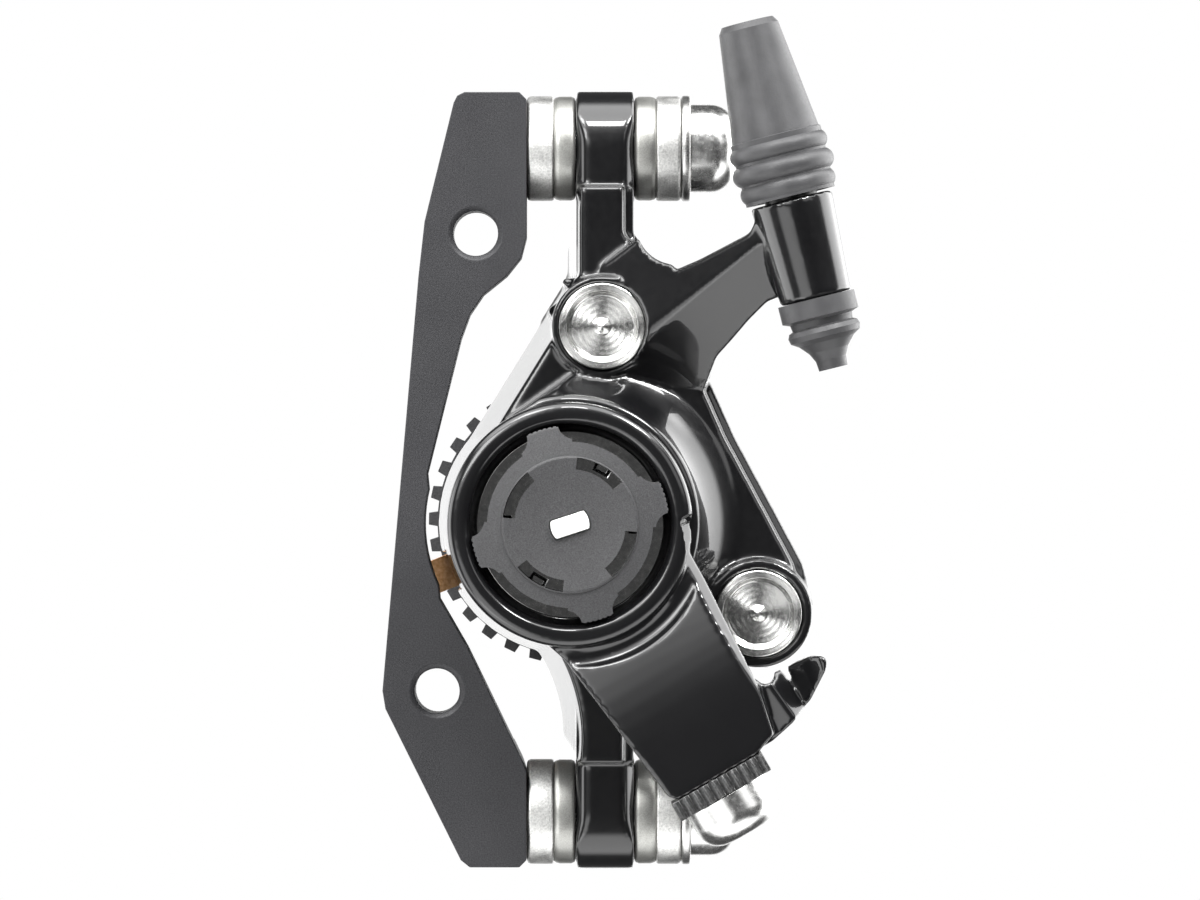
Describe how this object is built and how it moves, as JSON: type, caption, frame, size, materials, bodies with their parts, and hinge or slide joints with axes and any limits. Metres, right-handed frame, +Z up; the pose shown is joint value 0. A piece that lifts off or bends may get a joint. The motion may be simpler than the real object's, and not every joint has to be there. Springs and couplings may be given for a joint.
{
  "type": "disc brake caliper",
  "caption": "Cable-pulled bicycle disc brake caliper on a frame bracket: two-part body, lever arm with ball-ramp drive, two adjusting knobs, pads and a rubber-booted cable stop.",
  "frame": {"origin": "middle of the two frame bolt holes, on the bracket's outer face that lies against the frame", "axes": "+Z up along the caliper's length, +X away from the bracket's back edge, +Y inboard, toward the wheel"},
  "size_m": [0.0527, 0.0545, 0.0945],
  "materials": {
    "bracket": "matte anodised black",
    "bolt_steel": "polished stainless",
    "washer_steel": "blasted silver",
    "dome_steel": "grey anodised, satin",
    "flat_steel": "satin",
    "gloss_black": "gloss black enamel on forged aluminium",
    "sleeve_steel": "turned",
    "clamp_steel": "dark oxide",
    "cam_steel": "hardened, ground",
    "spring_steel": "satin",
    "cage_brass": "satin",
    "knob_plastic": "fine grain black",
    "inner_plastic": "satin dark grey",
    "copper_plate": "copper plated steel",
    "lining": "sintered metal, rough",
    "boot_rubber": "matte dark grey",
    "seal_rubber": "matte black",
    "barrel_black": "black anodised"
  },
  "bodies": {
    "housing": {"adapter_bracket": "bracket", "mount_bolts": "bolt_steel", "hollow_washers": "washer_steel", "domed_washers": "dome_steel", "flat_washers": "flat_steel", "outer_body": "gloss_black", "inner_body": "gloss_black", "body_sleeves": "sleeve_steel", "body_screws": "cam_steel", "shaft_seal": "seal_rubber", "return_spring": "spring_steel", "fixed_race": "cam_steel", "wave_spring": "spring_steel", "bore_clip": "spring_steel", "pad_spring": "spring_steel", "lower_boot": "boot_rubber"},
    "cam_carrier": {"thrust_washer": "cam_steel"},
    "lever": {"lever_arm": "gloss_black", "clamp_plate": "clamp_steel", "anchor_bolt": "bolt_steel", "arm_nut": "clamp_steel", "drive_cam": "cam_steel"},
    "outer_knob": {"outer_knob": "knob_plastic"},
    "foot_screw": {"foot_screw": "cam_steel"},
    "outer_pad": {"outer_pad_plate": "copper_plate", "outer_pad_lining": "lining"},
    "cage": {"ball_cage": "cage_brass"},
    "balls": {"ramp_balls": "bolt_steel"},
    "inner_knob": {"inner_knob": "inner_plastic"},
    "inner_screw": {"inner_screw": "cam_steel"},
    "inner_pad": {"inner_pad_plate": "copper_plate", "inner_pad_lining": "lining"},
    "boot": {"upper_boot": "boot_rubber"},
    "barrel": {"barrel_adjuster": "barrel_black"}
  },
  "joints": [
    {"name": "ramp_travel", "type": "slide", "parent": "housing", "child": "cam_carrier", "axis": [0, 1, 0], "range_m": [0, 0.001], "deforming": ["wave_spring", "return_spring", "pad_spring"]},
    {"name": "arm_pivot", "type": "hinge", "parent": "cam_carrier", "child": "lever", "pos_m": [0.01267, 0, -0.00684], "axis": [0, -1, 0], "range_deg": [0, 35], "stiffness_Nm_per_rad": 0.08, "springref_deg": -28.65},
    {"name": "outer_knob_turn", "type": "hinge", "parent": "lever", "child": "outer_knob", "pos_m": [0.01267, 0, -0.00684], "axis": [0, 1, 0], "range_deg": [0, 270]},
    {"name": "foot_screw_travel", "type": "slide", "parent": "outer_knob", "child": "foot_screw", "axis": [0, 1, 0], "range_m": [0, 0.00075]},
    {"name": "outer_pad_adjust", "type": "slide", "parent": "cam_carrier", "child": "outer_pad", "axis": [0, 1, 0], "range_m": [0, 0.00075], "deforming": ["pad_spring"]},
    {"name": "cage_turn", "type": "hinge", "parent": "housing", "child": "cage", "pos_m": [0.01267, 0, -0.00684], "axis": [0, -1, 0], "range_deg": [0, 17.5]},
    {"name": "ball_rise", "type": "slide", "parent": "cage", "child": "balls", "axis": [0, 1, 0], "range_m": [0, 0.0005]},
    {"name": "inner_knob_turn", "type": "hinge", "parent": "housing", "child": "inner_knob", "pos_m": [0.01267, 0, -0.00684], "axis": [0, -1, 0], "range_deg": [0, 270]},
    {"name": "inner_screw_travel", "type": "slide", "parent": "inner_knob", "child": "inner_screw", "axis": [0, -1, 0], "range_m": [0, 0.00075]},
    {"name": "inner_pad_travel", "type": "slide", "parent": "housing", "child": "inner_pad", "axis": [0, -1, 0], "range_m": [0, 0.00075], "deforming": ["pad_spring"]},
    {"name": "barrel_travel", "type": "slide", "parent": "housing", "child": "boot", "axis": [-0.2419, 0, 0.9703], "range_m": [0, 0.003]},
    {"name": "barrel_turn", "type": "hinge", "parent": "boot", "child": "barrel", "pos_m": [0.037, -0.0104, 0.0289], "axis": [-0.2419, 0, 0.9703], "range_deg": [0, 1080]}
  ],
  "couplings": [
    {"joint": "arm_pivot", "follows": "ramp_travel", "rad_per_m": 610.87},
    {"joint": "cage_turn", "follows": "ramp_travel", "rad_per_m": 305.43},
    {"joint": "ball_rise", "follows": "ramp_travel", "ratio": 0.5},
    {"joint": "outer_knob_turn", "follows": "foot_screw_travel", "rad_per_m": 6283.2},
    {"joint": "outer_pad_adjust", "follows": "foot_screw_travel", "ratio": 1},
    {"joint": "inner_knob_turn", "follows": "inner_screw_travel", "rad_per_m": 6283.2},
    {"joint": "inner_pad_travel", "follows": "inner_screw_travel", "ratio": 1},
    {"joint": "barrel_turn", "follows": "barrel_travel", "rad_per_m": 6283.2}
  ]
}
